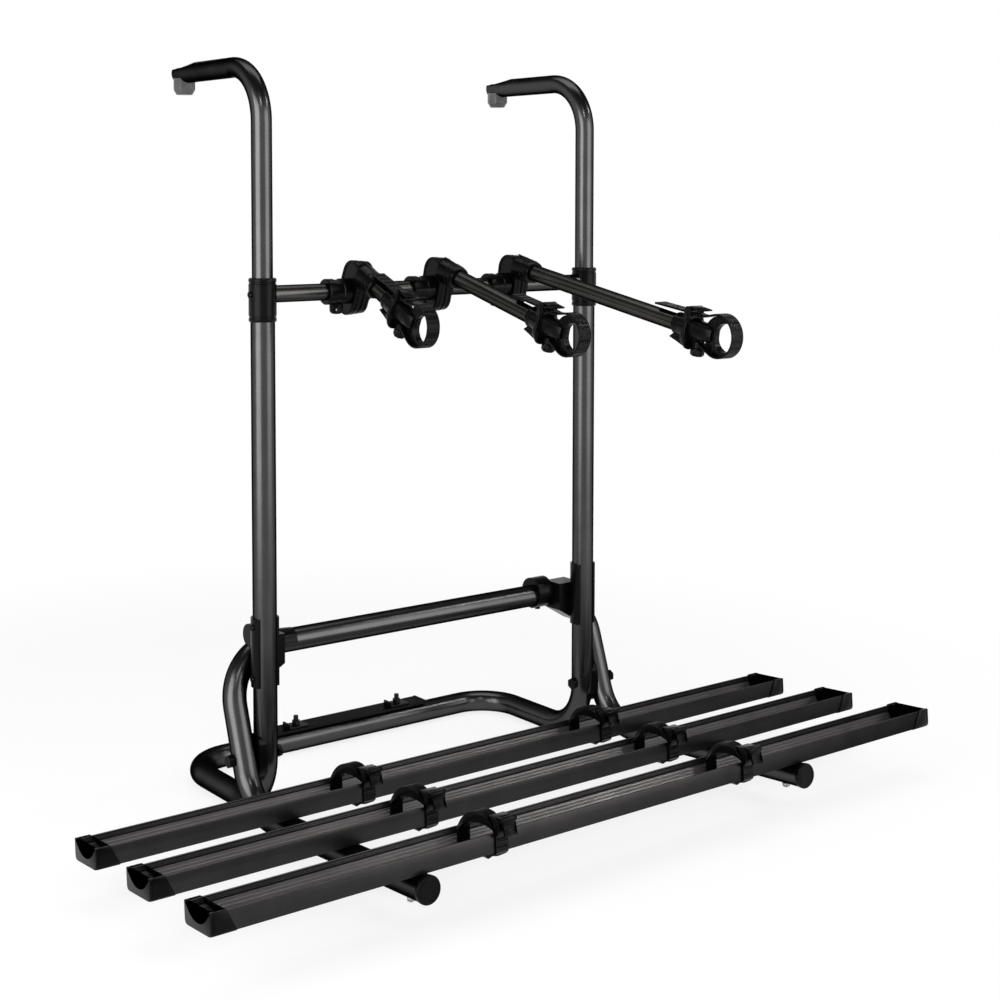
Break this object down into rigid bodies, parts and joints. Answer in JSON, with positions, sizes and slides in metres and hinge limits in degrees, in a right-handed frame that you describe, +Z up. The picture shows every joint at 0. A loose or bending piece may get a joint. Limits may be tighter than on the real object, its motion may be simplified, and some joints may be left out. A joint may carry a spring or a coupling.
{
  "type": "motorhome bicycle rack",
  "caption": "Wall-mounted motorhome bicycle rack with telescoping hooks, folding platform, wheel rails and adjustable frame holders.",
  "frame": {"origin": "centre of the wall adapter's back face, where it lies on the vehicle's wall, level with the floor loop's axis", "axes": "+X along the wheel rails to the right as seen from behind the vehicle, +Y into the vehicle's wall, +Z up"},
  "size_m": [1.266, 0.7565, 1.1185],
  "materials": {
    "tube_aluminium": "anodised dark grey, drawn, satin",
    "hook_aluminium": "anodised dark grey, drawn, satin",
    "bar_aluminium": "anodised dark grey, drawn, satin",
    "rail_aluminium": "ribbed extrusion, anodised near black, satin",
    "channel_aluminium": "extruded, anodised dark grey, satin",
    "black_plastic": "moulded, fine grain",
    "band_plastic": "moulded, toothed",
    "grey_rubber": "moulded, matt",
    "steel": "blackened, satin",
    "bright_steel": "zinc plated, dull"
  },
  "bodies": {
    "wall_frame": {"wall_frame_tube": "tube_aluminium", "wall_adapter": "channel_aluminium", "adapter_end_caps": "black_plastic", "adapter_bolts": "steel", "sleeve_left": "black_plastic", "sleeve_right": "black_plastic", "frame_screws": "steel", "upper_crossbar": "bar_aluminium", "latch_bracket_left": "black_plastic", "latch_bracket_right": "black_plastic", "pivot_bolts": "steel", "pivot_spacers": "black_plastic"},
    "platform": {"platform_tube": "tube_aluminium", "platform_end_caps": "black_plastic", "rail_rear": "rail_aluminium", "rail_middle": "rail_aluminium", "rail_front": "rail_aluminium", "rail_caps_left": "black_plastic", "rail_caps_right": "black_plastic", "rail_bolts": "bright_steel", "crossbar_catches": "black_plastic", "pivot_bushes": "black_plastic", "strap_buckles": "black_plastic", "wheel_strap_rear_left": "band_plastic", "wheel_strap_rear_right": "band_plastic", "wheel_strap_middle_left": "band_plastic", "wheel_strap_middle_right": "band_plastic", "wheel_strap_front_left": "band_plastic", "wheel_strap_front_right": "band_plastic"},
    "hook_left": {"hook_tube_left": "hook_aluminium", "hook_foot_left": "grey_rubber"},
    "hook_right": {"hook_tube_right": "hook_aluminium", "hook_foot_right": "grey_rubber"},
    "holder_1_collar": {"holder_1_collar": "black_plastic"},
    "holder_1_arm": {"holder_1_knuckle": "black_plastic", "holder_1_tube": "bar_aluminium", "holder_1_head": "black_plastic", "holder_1_band": "band_plastic"},
    "holder_1_lever": {"holder_1_lever": "black_plastic"},
    "holder_1_knob": {"holder_1_knob": "black_plastic"},
    "holder_2_collar": {"holder_2_collar": "black_plastic"},
    "holder_2_arm": {"holder_2_knuckle": "black_plastic", "holder_2_tube": "bar_aluminium", "holder_2_head": "black_plastic", "holder_2_band": "band_plastic"},
    "holder_2_lever": {"holder_2_lever": "black_plastic"},
    "holder_2_knob": {"holder_2_knob": "black_plastic"},
    "holder_3_collar": {"holder_3_collar": "black_plastic"},
    "holder_3_arm": {"holder_3_knuckle": "black_plastic", "holder_3_tube": "bar_aluminium", "holder_3_head": "black_plastic", "holder_3_band": "band_plastic"},
    "holder_3_lever": {"holder_3_lever": "black_plastic"},
    "holder_3_knob": {"holder_3_knob": "black_plastic"},
    "buckle_lever_rear_left": {"buckle_lever_rear_left": "black_plastic"},
    "buckle_lever_rear_right": {"buckle_lever_rear_right": "black_plastic"},
    "buckle_lever_middle_left": {"buckle_lever_middle_left": "black_plastic"},
    "buckle_lever_middle_right": {"buckle_lever_middle_right": "black_plastic"},
    "buckle_lever_front_left": {"buckle_lever_front_left": "black_plastic"},
    "buckle_lever_front_right": {"buckle_lever_front_right": "black_plastic"}
  },
  "joints": [
    {"name": "platform_fold", "type": "hinge", "parent": "wall_frame", "child": "platform", "pos_m": [0, -0.2698, 0.084], "axis": [-1, 0, 0], "range_deg": [0, 85]},
    {"name": "hook_left_slide", "type": "slide", "parent": "wall_frame", "child": "hook_left", "axis": [0, 0, 1], "range_m": [-0.15, 0.2]},
    {"name": "hook_right_slide", "type": "slide", "parent": "wall_frame", "child": "hook_right", "axis": [0, 0, 1], "range_m": [-0.15, 0.2]},
    {"name": "holder_1_slide", "type": "slide", "parent": "wall_frame", "child": "holder_1_collar", "axis": [1, 0, 0], "range_m": [-0.07, 0.035]},
    {"name": "holder_1_swing", "type": "hinge", "parent": "holder_1_collar", "child": "holder_1_arm", "pos_m": [-0.145, -0.2698, 0.747], "axis": [-1, 0, 0], "range_deg": [-65, 100]},
    {"name": "holder_1_lever_lift", "type": "hinge", "parent": "holder_1_arm", "child": "holder_1_lever", "pos_m": [-0.145, -0.39474, 0.75229], "axis": [-1, 0, 0], "range_deg": [0, 100]},
    {"name": "holder_1_knob_turn", "type": "hinge", "parent": "holder_1_arm", "child": "holder_1_knob", "pos_m": [-0.145, -0.38581, 0.6929], "axis": [0, -0.4226, 0.9063], "continuous": true},
    {"name": "holder_2_slide", "type": "slide", "parent": "wall_frame", "child": "holder_2_collar", "axis": [1, 0, 0], "range_m": [-0.035, 0.035]},
    {"name": "holder_2_swing", "type": "hinge", "parent": "holder_2_collar", "child": "holder_2_arm", "pos_m": [0.005, -0.2698, 0.747], "axis": [-1, 0, 0], "range_deg": [-74, 100]},
    {"name": "holder_2_lever_lift", "type": "hinge", "parent": "holder_2_arm", "child": "holder_2_lever", "pos_m": [0.005, -0.53289, 0.73474], "axis": [-1, 0, 0], "range_deg": [0, 100]},
    {"name": "holder_2_knob_turn", "type": "hinge", "parent": "holder_2_arm", "child": "holder_2_knob", "pos_m": [0.005, -0.53409, 0.6747], "axis": [0, -0.2639, 0.9646], "continuous": true},
    {"name": "holder_3_slide", "type": "slide", "parent": "wall_frame", "child": "holder_3_collar", "axis": [1, 0, 0], "range_m": [-0.035, 0.09]},
    {"name": "holder_3_swing", "type": "hinge", "parent": "holder_3_collar", "child": "holder_3_arm", "pos_m": [0.152, -0.2698, 0.747], "axis": [-1, 0, 0], "range_deg": [-79, 100]},
    {"name": "holder_3_lever_lift", "type": "hinge", "parent": "holder_3_arm", "child": "holder_3_lever", "pos_m": [0.152, -0.6736, 0.73074], "axis": [-1, 0, 0], "range_deg": [0, 100]},
    {"name": "holder_3_knob_turn", "type": "hinge", "parent": "holder_3_arm", "child": "holder_3_knob", "pos_m": [0.152, -0.67982, 0.67101], "axis": [0, -0.1822, 0.9833], "continuous": true},
    {"name": "buckle_lever_rear_left_lift", "type": "hinge", "parent": "platform", "child": "buckle_lever_rear_left", "pos_m": [-0.219, -0.4252, 0.08495], "axis": [-1, 0, 0], "range_deg": [0, 100]},
    {"name": "buckle_lever_rear_right_lift", "type": "hinge", "parent": "platform", "child": "buckle_lever_rear_right", "pos_m": [0.227, -0.4252, 0.08495], "axis": [-1, 0, 0], "range_deg": [0, 100]},
    {"name": "buckle_lever_middle_left_lift", "type": "hinge", "parent": "platform", "child": "buckle_lever_middle_left", "pos_m": [-0.219, -0.57483, 0.09541], "axis": [-1, 0, 0], "range_deg": [0, 100]},
    {"name": "buckle_lever_middle_right_lift", "type": "hinge", "parent": "platform", "child": "buckle_lever_middle_right", "pos_m": [0.227, -0.57483, 0.09541], "axis": [-1, 0, 0], "range_deg": [0, 100]},
    {"name": "buckle_lever_front_left_lift", "type": "hinge", "parent": "platform", "child": "buckle_lever_front_left", "pos_m": [-0.219, -0.72447, 0.10588], "axis": [-1, 0, 0], "range_deg": [0, 100]},
    {"name": "buckle_lever_front_right_lift", "type": "hinge", "parent": "platform", "child": "buckle_lever_front_right", "pos_m": [0.227, -0.72447, 0.10588], "axis": [-1, 0, 0], "range_deg": [0, 100]}
  ]
}
